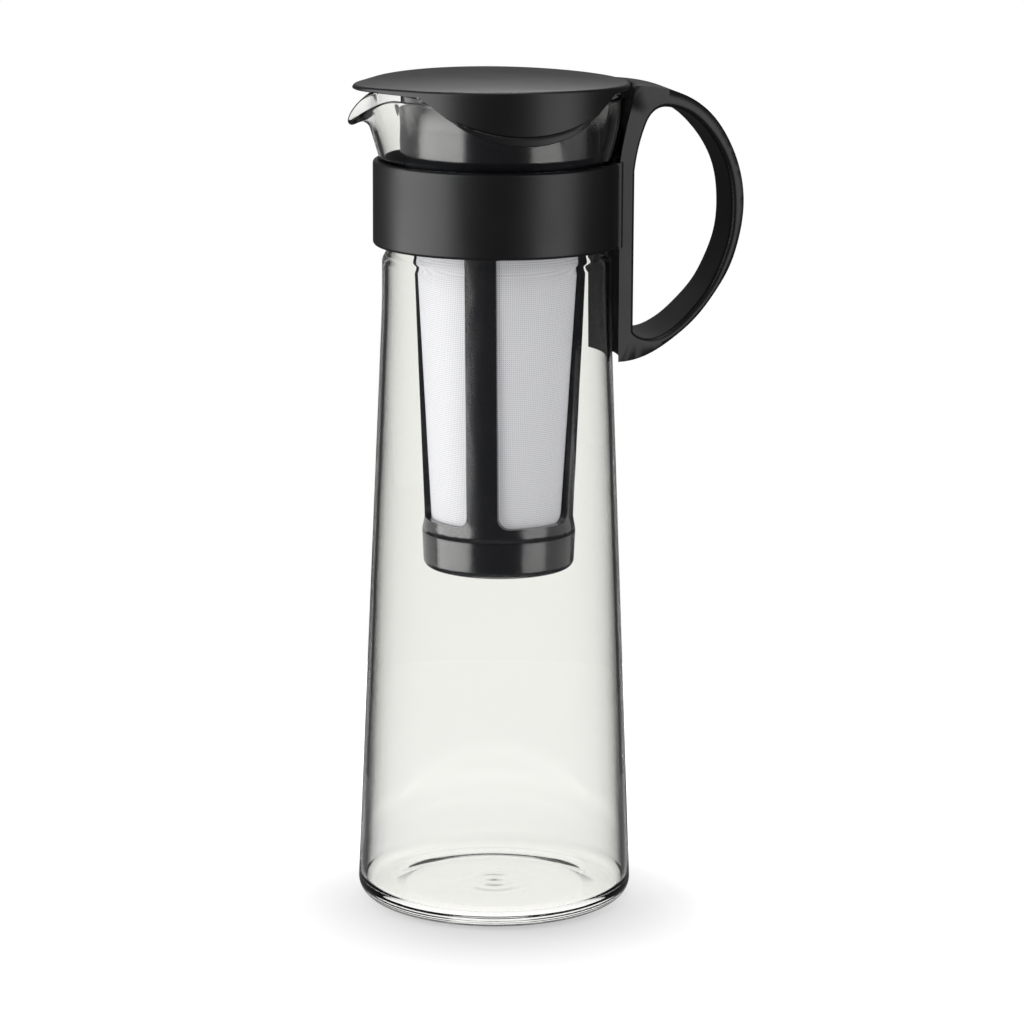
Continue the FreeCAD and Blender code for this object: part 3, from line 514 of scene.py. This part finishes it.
def lid_skirts(size, turn):
    """Rows of the skirts: down the outside, round the lower edge and up the inside.

    In side view they end in an arc with a slant at each end. A flatter arc, the crease, crosses
    them: a groove steps in below it, and from there they lean out in proportion to the depth.
    Both die out sideways by a smooth step, and the lean inside in the lowest quarter.
    """
    across = np.abs(size.radius * np.cos(turn))
    edge_half = size.arc_share * size.skirt_half
    arc_end = size.skirt_low + size.skirt_arc - math.sqrt(size.skirt_arc ** 2 - edge_half ** 2)
    on_arc = size.skirt_low + size.skirt_arc - np.sqrt(
        size.skirt_arc ** 2 - np.minimum(across, edge_half) ** 2)
    slant = arc_end + (size.under - arc_end) * np.clip(
        (across - edge_half) / (size.skirt_half - edge_half), 0, 1)
    low = np.where(across < edge_half, on_arc, slant)
    crease = size.skirt_low + size.lift_height + size.lift_arc - np.sqrt(
        size.lift_arc ** 2 - np.minimum(across, size.lift_half) ** 2)
    crease = np.clip(crease, low, size.under)
    fade = np.clip((size.lift_half - across) / size.lift_fade, 0, 1)
    fade = fade * fade * (3 - 2 * fade)
    lean = size.lift_depth * fade
    wall = size.skirt_wall
    lip = np.minimum(wall / 2, (size.under - low) / 3)
    bottom = low + lip
    run = ramp(9)[1:]
    down, out, cut = LIFT_ROWS.T[:, :, None]
    roll = ramp(9, 0, math.pi)[1:-1]
    up = ramp(12)
    return [
        (size.radius, size.under * (1 - run) + crease * run),
        (size.radius + out * lean - size.groove * fade * cut,
         crease * (1 - down) + np.minimum(bottom, crease) * down),
        (size.radius + lean - wall / 2 + wall / 2 * np.cos(roll), bottom - lip * np.sin(roll)),
        (size.radius - wall + lean * np.clip(1 - 4 * up, 0, 1),
         bottom * (1 - up) + size.under * up),
    ]


def lid_sleeve(size):
    """Rows from the skirts in along the underside, round the sleeve and on to the middle."""
    outer, inner = size.sleeve_radius, size.sleeve_radius - size.sleeve_wall
    foot = size.under - size.sleeve_length
    wide, run, last = ramp(7)[1:], ramp(4)[1:], ramp(8)[1:]
    return [
        ((size.radius - size.skirt_wall) * (1 - wide) + outer * wide, size.under),
        (outer, size.under * (1 - run) + foot * run),
        (outer * (1 - run) + inner * run, foot),
        (inner, foot * (1 - run) + size.under * run),
        (inner * (1 - last), size.under),
    ]


def lid_points(size):
    """Grid of the lid's surface: plate, skirts and sleeve, turned about the axis."""
    turn = np.linspace(0, 2 * math.pi, 361)[:-1][None, :]
    parts = lid_plate(size, turn) + lid_skirts(size, turn) + lid_sleeve(size)
    parts = [np.broadcast_arrays(radius, height, turn) for radius, height in parts]
    radius, height = (np.concatenate([part[side] for part in parts]) for side in (0, 1))
    return np.stack([-radius * np.cos(turn), -radius * np.sin(turn), height], axis=2)


def panel_points(size, index):
    """Grid of one mesh panel and its UV map: a strip of a cone, outside, edge, inside and edge.

    The strip's height runs along the cone's slope and its width round the axis. U is the length
    round the cone at its middle and V the length along the slope, both in metres.
    """
    middle = size.turn + index * math.pi / 2
    round_way = np.linspace(-size.span / 2, size.span / 2, 49)
    up = np.linspace(0, 1, 53)
    outer = size.mesh_low + (size.mesh_top - size.mesh_low) * up
    height = size.foot_height + (size.top_height - size.foot_height) * up
    radius = np.concatenate([outer, outer[::-1] - size.thickness])
    height = np.concatenate([height, height[::-1]])
    slope = np.concatenate([up, up[::-1]]) * math.hypot(
        size.top_height - size.foot_height, size.mesh_top - size.mesh_low)
    columns = np.concatenate([round_way[:1], round_way, round_way[-1:]])
    turn = middle + columns[None, :]
    # The first and last columns close the strip's two side edges half way through its thickness.
    half = outer - size.thickness / 2
    half = np.concatenate([half, half[::-1]])[:, None]
    radius = np.repeat(radius[:, None], len(columns), axis=1)
    radius[:, :1], radius[:, -1:] = half, half
    points = np.stack([size.sit + radius * np.cos(turn), radius * np.sin(turn),
                       np.broadcast_to(height[:, None], radius.shape)], axis=2)
    width = (size.mesh_low + size.mesh_top) / 2 * columns
    uv = np.stack(np.broadcast_arrays(width[None, :], slope[:, None]), axis=2)
    return points, uv


# -------------------- materials

def add(tree, kind, inputs=None, **settings):
    """Add a node, set its properties, and give its sockets a value or a link each.

    A node given as a value stands for its first output. In a Mix node, the colours are inputs
    6 and 7 and output 2.
    """
    made = tree.nodes.new("ShaderNode" + kind)
    for name, value in settings.items():
        setattr(made, name, value)
    for key, value in (inputs or {}).items():
        if isinstance(value, bpy.types.Node):
            value = value.outputs[0]
        if isinstance(value, bpy.types.NodeSocket):
            tree.links.new(value, made.inputs[key])
        else:
            made.inputs[key].default_value = value
    return made


def new_material(name):
    """An empty node material and its tree."""
    material = bpy.data.materials.new(name)
    material.use_nodes = True
    material.node_tree.nodes.clear()
    return material, material.node_tree


def blown_glass(size):
    """Clear borosilicate, blown in a turning mould: a bright even surface with slow waves that
    bend what is seen through it a little. A dark line just inside each edge of the pot is painted
    shade: the glass's colour darkens where the lining is marked and faces away, standing in for
    light that grazes the wall where it is seen along its length."""
    material, tree = new_material("Blown Borosilicate Glass")
    place = add(tree, "TexCoord").outputs["Object"]
    waves = add(tree, "TexNoise", {"Vector": place, "Scale": 1 / size.wave_spacing, "Detail": 1.0})
    relief = add(tree, "Bump", {"Height": waves, "Strength": 0.06, "Distance": 0.002})
    facing = add(tree, "LayerWeight", {"Blend": 0.5}).outputs["Facing"]
    lining = add(tree, "Attribute", attribute_name="lining")
    # Painted shade: the dark line's shade by how far the lining faces away, a touch bluer than
    # grey.
    painted_edge_shade = add(tree, "ValToRGB", {"Fac": facing})
    stops = painted_edge_shade.color_ramp.elements
    for away, shade in ((0.45, 1.0), (0.58, 0.88), (0.68, 0.6), (0.75, 0.22), (0.81, 0.03),
                        (0.88, 0.002)):
        stops.new(away).color = (shade, shade, shade * 1.01, 1)
    stops.remove(stops[-1])
    stops.remove(stops[0])
    painted_edge_tone = add(tree, "Mix", {
        "Factor": lining.outputs["Fac"], 6: (1, 1, 1, 1), 7: painted_edge_shade}, data_type="RGBA")
    body = add(tree, "Mix", {"Factor": 1.0, 6: painted_edge_tone.outputs[2], 7: (*size.tint, 1)},
               data_type="RGBA", blend_type="MULTIPLY")
    glass = add(tree, "BsdfPrincipled", {
        "Base Color": body.outputs[2], "Roughness": 0.0, "IOR": 1.47, "Transmission Weight": 1.0,
        "Normal": relief})
    light = add(tree, "LightPath").outputs
    # Light that meets the wall edge-on is bent away, so the pot's shadow has a darker rim.
    bent = add(tree, "MapRange", {
        "Value": facing, "From Min": 0.3, "From Max": 1.0, "To Min": 0.955, "To Max": 0.45})
    clear = add(tree, "BsdfTransparent", {"Color": bent})
    # A ray that has come through the glass counts as a glossy one too, and still has to bend. So
    # does one thrown back inside the base or the rim, where it makes the bright and dark lines.
    ends = add(tree, "Attribute", attribute_name="ends")
    within = add(tree, "NewGeometry")
    # Light that runs round inside the wall next to its outline comes out again behind the pot.
    outline = add(tree, "MapRange", {
        "Value": facing, "From Min": 0.249, "From Max": 0.262, "To Max": 0.6})
    thick = add(tree, "Math", {0: ends.outputs["Fac"], 1: outline}, operation="MAXIMUM")
    thrown_back = add(tree, "Math", {
        0: thick, 1: within.outputs["Backfacing"]}, operation="MULTIPLY")
    kept = add(tree, "Math", {
        0: light["Is Transmission Ray"], 1: thrown_back}, operation="MAXIMUM")
    mirrored = add(tree, "Math", {
        0: light["Is Glossy Ray"], 1: kept}, operation="SUBTRACT", use_clamp=True)
    straight = add(tree, "Math", {
        0: light["Is Shadow Ray"], 1: light["Is Diffuse Ray"]}, operation="MAXIMUM")
    passed = add(tree, "Math", {0: straight, 1: mirrored}, operation="MAXIMUM")
    both = add(tree, "MixShader", {"Fac": passed, 1: glass, 2: clear})
    add(tree, "OutputMaterial", {"Surface": both})
    return material


def moulded_plastic(name, size, tint, roughness, gloss, depth, skin=0.0):
    """Black polypropylene, injection moulded. A fine spark-eroded grain in the mould breaks the
    gloss into a soft sheen, and slow changes in it keep large faces from looking printed. Where
    the mould is polished, the plastic sets against it with a smoother skin."""
    material, tree = new_material(name)
    place = add(tree, "TexCoord").outputs["Object"]
    speck = add(tree, "TexNoise", {"Vector": place, "Scale": 1 / size.grain, "Detail": 2.0})
    cloud = add(tree, "TexNoise", {"Vector": place, "Scale": 1 / size.patch, "Detail": 3.0})
    relief = add(tree, "Bump", {"Height": speck, "Strength": 0.12, "Distance": depth})
    sheen = add(tree, "MapRange", {
        "Value": cloud, "From Min": 0.3, "From Max": 0.7, "To Min": roughness - 0.03,
        "To Max": roughness + 0.03})
    plastic = add(tree, "BsdfPrincipled", {
        "Base Color": (*tint, 1), "Roughness": sheen, "IOR": 1.49, "Specular IOR Level": gloss,
        "Coat Weight": skin, "Coat Roughness": 0.12, "Normal": relief})
    add(tree, "OutputMaterial", {"Surface": plastic})
    return material


def woven_mesh(size):
    """Polyester monofilament, woven plain at about four threads a millimetre. The threads are
    drawn coarser than that so that they show. Light comes through the gaps between them."""
    material, tree = new_material("Woven Polyester Mesh")
    place = add(tree, "TexCoord").outputs["UV"]
    split = add(tree, "SeparateXYZ", {"Vector": place}).outputs
    waves = []
    for axis in ("X", "Y"):
        phase = add(tree, "Math", {
            0: split[axis], 1: 2 * math.pi / size.thread}, operation="MULTIPLY")
        wave = add(tree, "Math", {0: phase}, operation="COSINE")
        waves.append(add(tree, "MapRange", {"Value": wave, "From Min": -1.0, "From Max": 1.0}))
    thread = add(tree, "Math", {0: waves[0], 1: waves[1]}, operation="MAXIMUM")
    relief = add(tree, "Bump", {"Height": thread, "Strength": 0.5, "Distance": 0.0001})
    cover = add(tree, "MapRange", {
        "Value": thread, "From Min": 0.25, "From Max": 0.6, "To Min": 0.55, "To Max": 0.97})
    cloth = add(tree, "BsdfPrincipled", {
        "Base Color": (*size.mesh, 1), "Roughness": 0.45, "IOR": 1.57, "Normal": relief})
    through = add(tree, "BsdfTranslucent", {"Color": (*size.mesh, 1)})
    lit = add(tree, "MixShader", {"Fac": 0.42, 1: cloth, 2: through})
    gap = add(tree, "BsdfTransparent", {"Color": (1, 1, 1, 1)})
    both = add(tree, "MixShader", {"Fac": cover, 1: gap, 2: lit})
    add(tree, "OutputMaterial", {"Surface": both})
    return material


# Middle of the pot's soft shadow painted on the floor, and the ring where its foot meets the floor.
PAINTED_SHADOW_MIDDLE = (-0.0056, -0.0244, 0)
FOOT_INSIDE, FOOT_OUTSIDE = 0.042, 0.056
# Brightness of the floor through the glass: a pool of light painted under the pot, beside it, and
#  where it has run out into the backdrop, between two distances from the axis.
PAINTED_POOL_UNDER_POT, BESIDE_POT, RUN_OUT = 0.9, 0.57, 0.96
RUN_START, RUN_END = 0.1, 0.33
# Direction of the middle of the white backdrop.
BACKDROP_WAY = (0.215, 0.93, 0.3)


def pale_floor(stage):
    """Matt white acrylic sheet, white further out. A soft shadow near the pot is painted into its
    own light, and so are a pool of light and a glint under the pot.
    """
    material, tree = new_material("White Acrylic Floor")
    place = add(tree, "TexCoord").outputs["Object"]
    far = add(tree, "VectorMath", {0: place}, operation="LENGTH").outputs["Value"]
    # Painted shadow: seen straight on, the floor's own light is lower the nearer it is to the
    # shadow's middle.
    ahead = add(tree, "VectorMath", {0: place, 1: PAINTED_SHADOW_MIDDLE}, operation="DISTANCE")
    painted_shadow_glow = add(tree, "ValToRGB", {"Fac": ahead.outputs["Value"]})
    painted_shadow_glow.color_ramp.interpolation = "B_SPLINE"
    stops = painted_shadow_glow.color_ramp.elements
    for away, shade in ((0.015, 0.31), (0.026, 0.31), (0.036, 0.37), (0.045, 0.43),
                        (0.055, 0.49), (0.065, 0.55), (0.078, 0.62), (0.1, 1.0)):
        stops.new(away).color = (shade, shade, shade, 1)
    stops.remove(stops[-1])
    stops.remove(stops[0])
    light = add(tree, "LightPath").outputs
    seen = add(tree, "Math", {0: light["Is Camera Ray"], 1: painted_shadow_glow}, operation="MULTIPLY")
    # Painted pool of light: through the glass the floor under the pot is brighter, standing in for
    # light that came down through the glass.
    painted_pool = add(tree, "MapRange", {
        "Value": far, "From Min": FOOT_INSIDE, "From Max": FOOT_OUTSIDE, "To Min": PAINTED_POOL_UNDER_POT,
        "To Max": BESIDE_POT}, interpolation_type="SMOOTHSTEP")
    # Through the glass the floor runs out into the backdrop, so that its edge doesn't show.
    outer = add(tree, "MapRange", {
        "Value": far, "From Min": RUN_START, "From Max": RUN_END},
        interpolation_type="SMOOTHSTEP")
    rising = add(tree, "Math", {
        0: outer, 1: RUN_OUT - BESIDE_POT, 2: painted_pool}, operation="MULTIPLY_ADD")
    through = add(tree, "Math", {0: light["Is Transmission Ray"], 1: rising}, operation="MULTIPLY")
    mirrored = add(tree, "Math", {
        0: light["Is Glossy Ray"], 1: light["Is Transmission Ray"]},
        operation="SUBTRACT", use_clamp=True)
    direct = add(tree, "Math", {0: seen, 1: through}, operation="MAXIMUM")
    # Painted glint: seen in mirror rays, the floor under the pot glows brighter than beside it.
    painted_glint = add(tree, "MapRange", {
        "Value": far, "From Min": FOOT_INSIDE, "From Max": FOOT_OUTSIDE, "To Min": 0.6,
        "To Max": 0.05}, interpolation_type="SMOOTHSTEP")
    strength = add(tree, "Math", {0: mirrored, 1: painted_glint, 2: direct}, operation="MULTIPLY_ADD")
    # Painted shade: in gloss the floor's colour is darkened, standing in for where it falls away
    # from the lamps. Through the glass it also darkens further out, where its light runs into the
    # backdrop.
    fading = add(tree, "Math", {
        0: light["Is Transmission Ray"], 1: outer, 2: mirrored}, operation="MULTIPLY_ADD")
    painted_dim_floor = add(tree, "Mix", {
        "Factor": fading, 6: (*stage.floor, 1), 7: (0.06, 0.06, 0.06, 1)}, data_type="RGBA")
    matt = add(tree, "BsdfDiffuse", {"Color": painted_dim_floor.outputs[2]})
    bright = add(tree, "Emission", {"Color": (1, 1, 1, 1), "Strength": strength})
    both = add(tree, "AddShader", {0: matt, 1: bright})
    add(tree, "OutputMaterial", {"Surface": both})
    return material


def studio_world(world):
    """White wherever the background is looked at or seen through glass, a dim room all round for
    soft light, and for glossy surfaces the white backdrop on the far side of the pot."""
    world.use_nodes = True
    tree = world.node_tree
    tree.nodes.clear()
    place = add(tree, "TexCoord").outputs["Object"]
    behind = add(tree, "VectorMath", {0: place, 1: BACKDROP_WAY}, operation="DOT_PRODUCT")
    backdrop = add(tree, "MapRange", {
        "Value": behind.outputs["Value"], "From Min": 0.84, "From Max": 0.99, "To Min": 0.045,
        "To Max": 0.26})
    light = add(tree, "LightPath").outputs
    glossy = add(tree, "Math", {0: light["Is Glossy Ray"], 1: backdrop}, operation="MULTIPLY")
    seen = add(tree, "Math", {
        0: light["Is Camera Ray"], 1: light["Is Transmission Ray"]}, operation="MAXIMUM")
    room = add(tree, "Math", {0: light["Is Diffuse Ray"], 1: 0.35}, operation="MULTIPLY")
    direct = add(tree, "Math", {0: glossy, 1: seen}, operation="MAXIMUM")
    strength = add(tree, "Math", {0: direct, 1: room}, operation="MAXIMUM")
    sky = add(tree, "Background", {"Color": (1, 1, 1, 1), "Strength": strength})
    add(tree, "OutputWorld", {"Surface": sky})


# -------------------- stage

# Gap that keeps the floor off the pot's foot.
FLOOR_GAP = 0.0001
# Point that the lamps shine at, and the height of those that stand beside the pot.
LIT_POINT, LAMP_HEIGHT = (0.0, 0.0, 0.22), 0.35


def lay_floor(stage):
    """A pale disc just under the pot's foot: points at even angles and even distances out."""
    turn = np.linspace(0, 2 * math.pi, 97)[:-1][None, :]
    out = np.linspace(0, stage.floor_radius, 13)[:, None]
    points = np.stack(np.broadcast_arrays(out * np.cos(turn), out * np.sin(turn), -FLOOR_GAP),
                      axis=2)
    floor = grid_object("floor", points, wrap_columns=True)
    if floor.data.polygons[0].normal.z < 0:
        floor.data.flip_normals()
    floor.data.materials.append(pale_floor(stage))


def group_pieces(name, *pieces):
    """A collection outside the scene that names pieces made before, for lamps to treat apart."""
    group = bpy.data.collections.new(name)
    for piece in pieces:
        if piece not in bpy.data.objects:
            raise RuntimeError(f"Make {piece} first: the lamps are set by it")
        group.objects.link(bpy.data.objects[piece])
    return group


def softbox(name, place, size, watts, lights=None, target=LIT_POINT):
    """A rectangular lamp that shines at a target and isn't seen, straight or through glass."""
    lamp = bpy.data.lights.new(name, "AREA")
    lamp.shape = "RECTANGLE"
    lamp.size, lamp.size_y = size
    lamp.energy = watts
    box = bpy.data.objects.new(name, lamp)
    box.location = place
    box.rotation_euler = (Vector(target) - box.location).to_track_quat("-Z", "Y").to_euler()
    box.visible_camera = False
    box.visible_transmission = False
    box.light_linking.receiver_collection = lights
    bpy.context.scene.collection.objects.link(box)
    return lamp


def beside_pot(degrees):
    """A place at lamp height, one metre from the pot's axis."""
    way = math.radians(degrees)
    return math.cos(way), math.sin(way), LAMP_HEIGHT


def hang_lamps(stage):
    """Two large softboxes, one overhead, a strip behind and two cards at the back."""
    # The large softboxes are flagged off the clear glass, so that they aren't mirrored in it.
    flagged = group_pieces("flagged off the glass", "glass_pot_blown")
    flagged.collection_objects[0].light_linking.link_state = "EXCLUDE"
    # Cards at the back are kept to the strainer, whose smooth plastic mirrors them.
    smooth = group_pieces("smooth plastic", "strainer_frame_moulded", "strainer_cap_moulded")
    softbox("softbox left", beside_pot(-177.0), (1.3, 1.3), stage.left_power, flagged)
    softbox("softbox right", beside_pot(-47.4), (0.74, 1.3), stage.right_power, flagged)
    softbox("softbox top", (0.05, 0.0, 1.3), (0.5, 0.5), stage.top_power)
    strip = softbox("strip behind", (0.08, 0.35, 0.56), (0.3, 0.03), stage.back_power, flagged,
                    target=(-0.04, -0.14, 0.29))
    strip.spread = math.radians(20)
    softbox("card left", beside_pot(113.5), (1.35, 1.3), stage.left_card, smooth)
    softbox("card right", beside_pot(5.0), (1.35, 1.3), stage.right_card, smooth)


def aim_camera(scene, stage):
    """A camera turned about the pot's axis, tilted down and rolled about its line of sight."""
    lens = bpy.data.cameras.new("camera")
    lens.sensor_width = 36.0
    lens.lens = stage.lens
    lens.shift_x = stage.shift
    camera = bpy.data.objects.new("camera", lens)
    scene.collection.objects.link(camera)
    turn = -stage.azimuth
    right = Vector((math.cos(turn), -math.sin(turn), 0))
    level = Vector((math.sin(turn), math.cos(turn), 0))
    ahead = level * math.cos(stage.tilt) - Vector((0, 0, math.sin(stage.tilt)))
    up = level * math.sin(stage.tilt) + Vector((0, 0, math.cos(stage.tilt)))
    rolled = math.cos(stage.roll) * right + math.sin(stage.roll) * up
    upright = math.cos(stage.roll) * up - math.sin(stage.roll) * right
    turned = Matrix((rolled, upright, -ahead)).transposed().to_4x4()
    place = Vector((-stage.distance * math.sin(turn), -stage.distance * math.cos(turn),
                    stage.height))
    camera.matrix_world = Matrix.Translation(place) @ turned
    scene.camera = camera


# -------------------- operators

class COFFEE_OT_glass_pot(bpy.types.Operator):
    """Make the blown glass pot with its flared rim and pulled spout"""
    bl_idname = "coffee.glass_pot"
    bl_label = "Glass Pot"

    def execute(self, context):
        size = context.scene.coffee_glass
        points, marks = glass_points(size)
        pot = grid_object("glass_pot_blown", points, wrap_columns=True, marks=marks)
        dress(pot, blown_glass(size), "pot", "clear_glass", "glass_pot")
        return {"FINISHED"}


class COFFEE_OT_collar_handle(bpy.types.Operator):
    """Make the moulded collar and the handle that it holds"""
    bl_idname = "coffee.collar_handle"
    bl_label = "Collar and Handle"

    def execute(self, context):
        size = context.scene.coffee_plastic
        satin = moulded_plastic("Satin Black Polypropylene", size, size.satin,
                                size.satin_roughness, gloss=0.46, depth=0.00006)
        for node in ("neck_collar", "handle"):
            dress(smooth_copy(node), satin, "pot", "black_matt_plastic", node)
        return {"FINISHED"}


class COFFEE_OT_lid(bpy.types.Operator):
    """Make the moulded lid with its beak, skirts and sleeve"""
    bl_idname = "coffee.lid"
    bl_label = "Lid"

    def execute(self, context):
        satin = bpy.data.materials.get("Satin Black Polypropylene")
        if satin is None:
            raise RuntimeError("Make the collar and handle first: the lid shares their plastic")
        points = lid_points(context.scene.coffee_lid)
        lid = grid_object("lid_moulded", points, wrap_columns=True)
        dress(lid, satin, "lid", "black_matt_plastic", "lid")
        return {"FINISHED"}


class COFFEE_OT_strainer(bpy.types.Operator):
    """Make the strainer's moulded frame and its bottom cap"""
    bl_idname = "coffee.strainer"
    bl_label = "Strainer Frame and Cap"

    def execute(self, context):
        size = context.scene.coffee_plastic
        gloss = moulded_plastic("Smooth Black Polypropylene", size, size.gloss,
                                size.gloss_roughness, gloss=1.0, depth=0.00002, skin=0.5)
        for node, body in (("strainer_frame", "strainer"), ("strainer_cap", "cap")):
            dress(smooth_copy(node), gloss, body, "black_gloss_plastic", node)
        return {"FINISHED"}


class COFFEE_OT_mesh(bpy.types.Operator):
    """Make the four panels of woven mesh between the strainer's ribs"""
    bl_idname = "coffee.mesh"
    bl_label = "Mesh Panels"

    def execute(self, context):
        size = context.scene.coffee_strainer
        material = woven_mesh(size)
        for index in range(4):
            node = f"mesh_panel_{index + 1}"
            points, uv = panel_points(size, index)
            panel = grid_object(node + "_woven", points, wrap_rows=True, uv=uv, sharp=60)
            dress(panel, material, "strainer", "woven_mesh", node)
        return {"FINISHED"}


class COFFEE_OT_stage(bpy.types.Operator):
    """Set up the floor, the softboxes, the world and the camera"""
    bl_idname = "coffee.stage"
    bl_label = "Stage"

    def execute(self, context):
        scene, stage = context.scene, context.scene.coffee_stage
        lay_floor(stage)
        hang_lamps(stage)
        if scene.world is None:
            scene.world = bpy.data.worlds.new("studio")
        studio_world(scene.world)
        aim_camera(scene, stage)
        scene.view_settings.view_transform = "Standard"
        return {"FINISHED"}


OPERATORS = (
    COFFEE_OT_glass_pot,
    COFFEE_OT_collar_handle,
    COFFEE_OT_lid,
    COFFEE_OT_strainer,
    COFFEE_OT_mesh,
    COFFEE_OT_stage,
)


class COFFEE_PT_panel(bpy.types.Panel):
    """Sizes and colours of the coffee maker, and the operators that make its pieces"""
    bl_idname = "COFFEE_PT_panel"
    bl_label = "Coffee Maker"
    bl_space_type = "VIEW_3D"
    bl_region_type = "UI"
    bl_category = "Coffee Maker"

    def draw(self, context):
        for operator in OPERATORS:
            self.layout.operator(operator.bl_idname)
        for name, group in GROUPS.items():
            box = self.layout.box()
            box.label(text=group.__name__.replace("Coffee", ""))
            for prop in group.__annotations__:
                box.prop(getattr(context.scene, name), prop)


def register():
    for name, group in GROUPS.items():
        bpy.utils.register_class(group)
        setattr(bpy.types.Scene, name, PointerProperty(type=group))
    for made in (*OPERATORS, COFFEE_PT_panel):
        bpy.utils.register_class(made)


def unregister():
    for made in (COFFEE_PT_panel, *reversed(OPERATORS)):
        bpy.utils.unregister_class(made)
    for name, group in GROUPS.items():
        delattr(bpy.types.Scene, name)
        bpy.utils.unregister_class(group)


def main():
    """Register the add-on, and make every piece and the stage."""
    register()
    bpy.ops.coffee.glass_pot()
    bpy.ops.coffee.collar_handle()
    bpy.ops.coffee.lid()
    bpy.ops.coffee.strainer()
    bpy.ops.coffee.mesh()
    bpy.ops.coffee.stage()


if __name__ == "__main__":
    main()
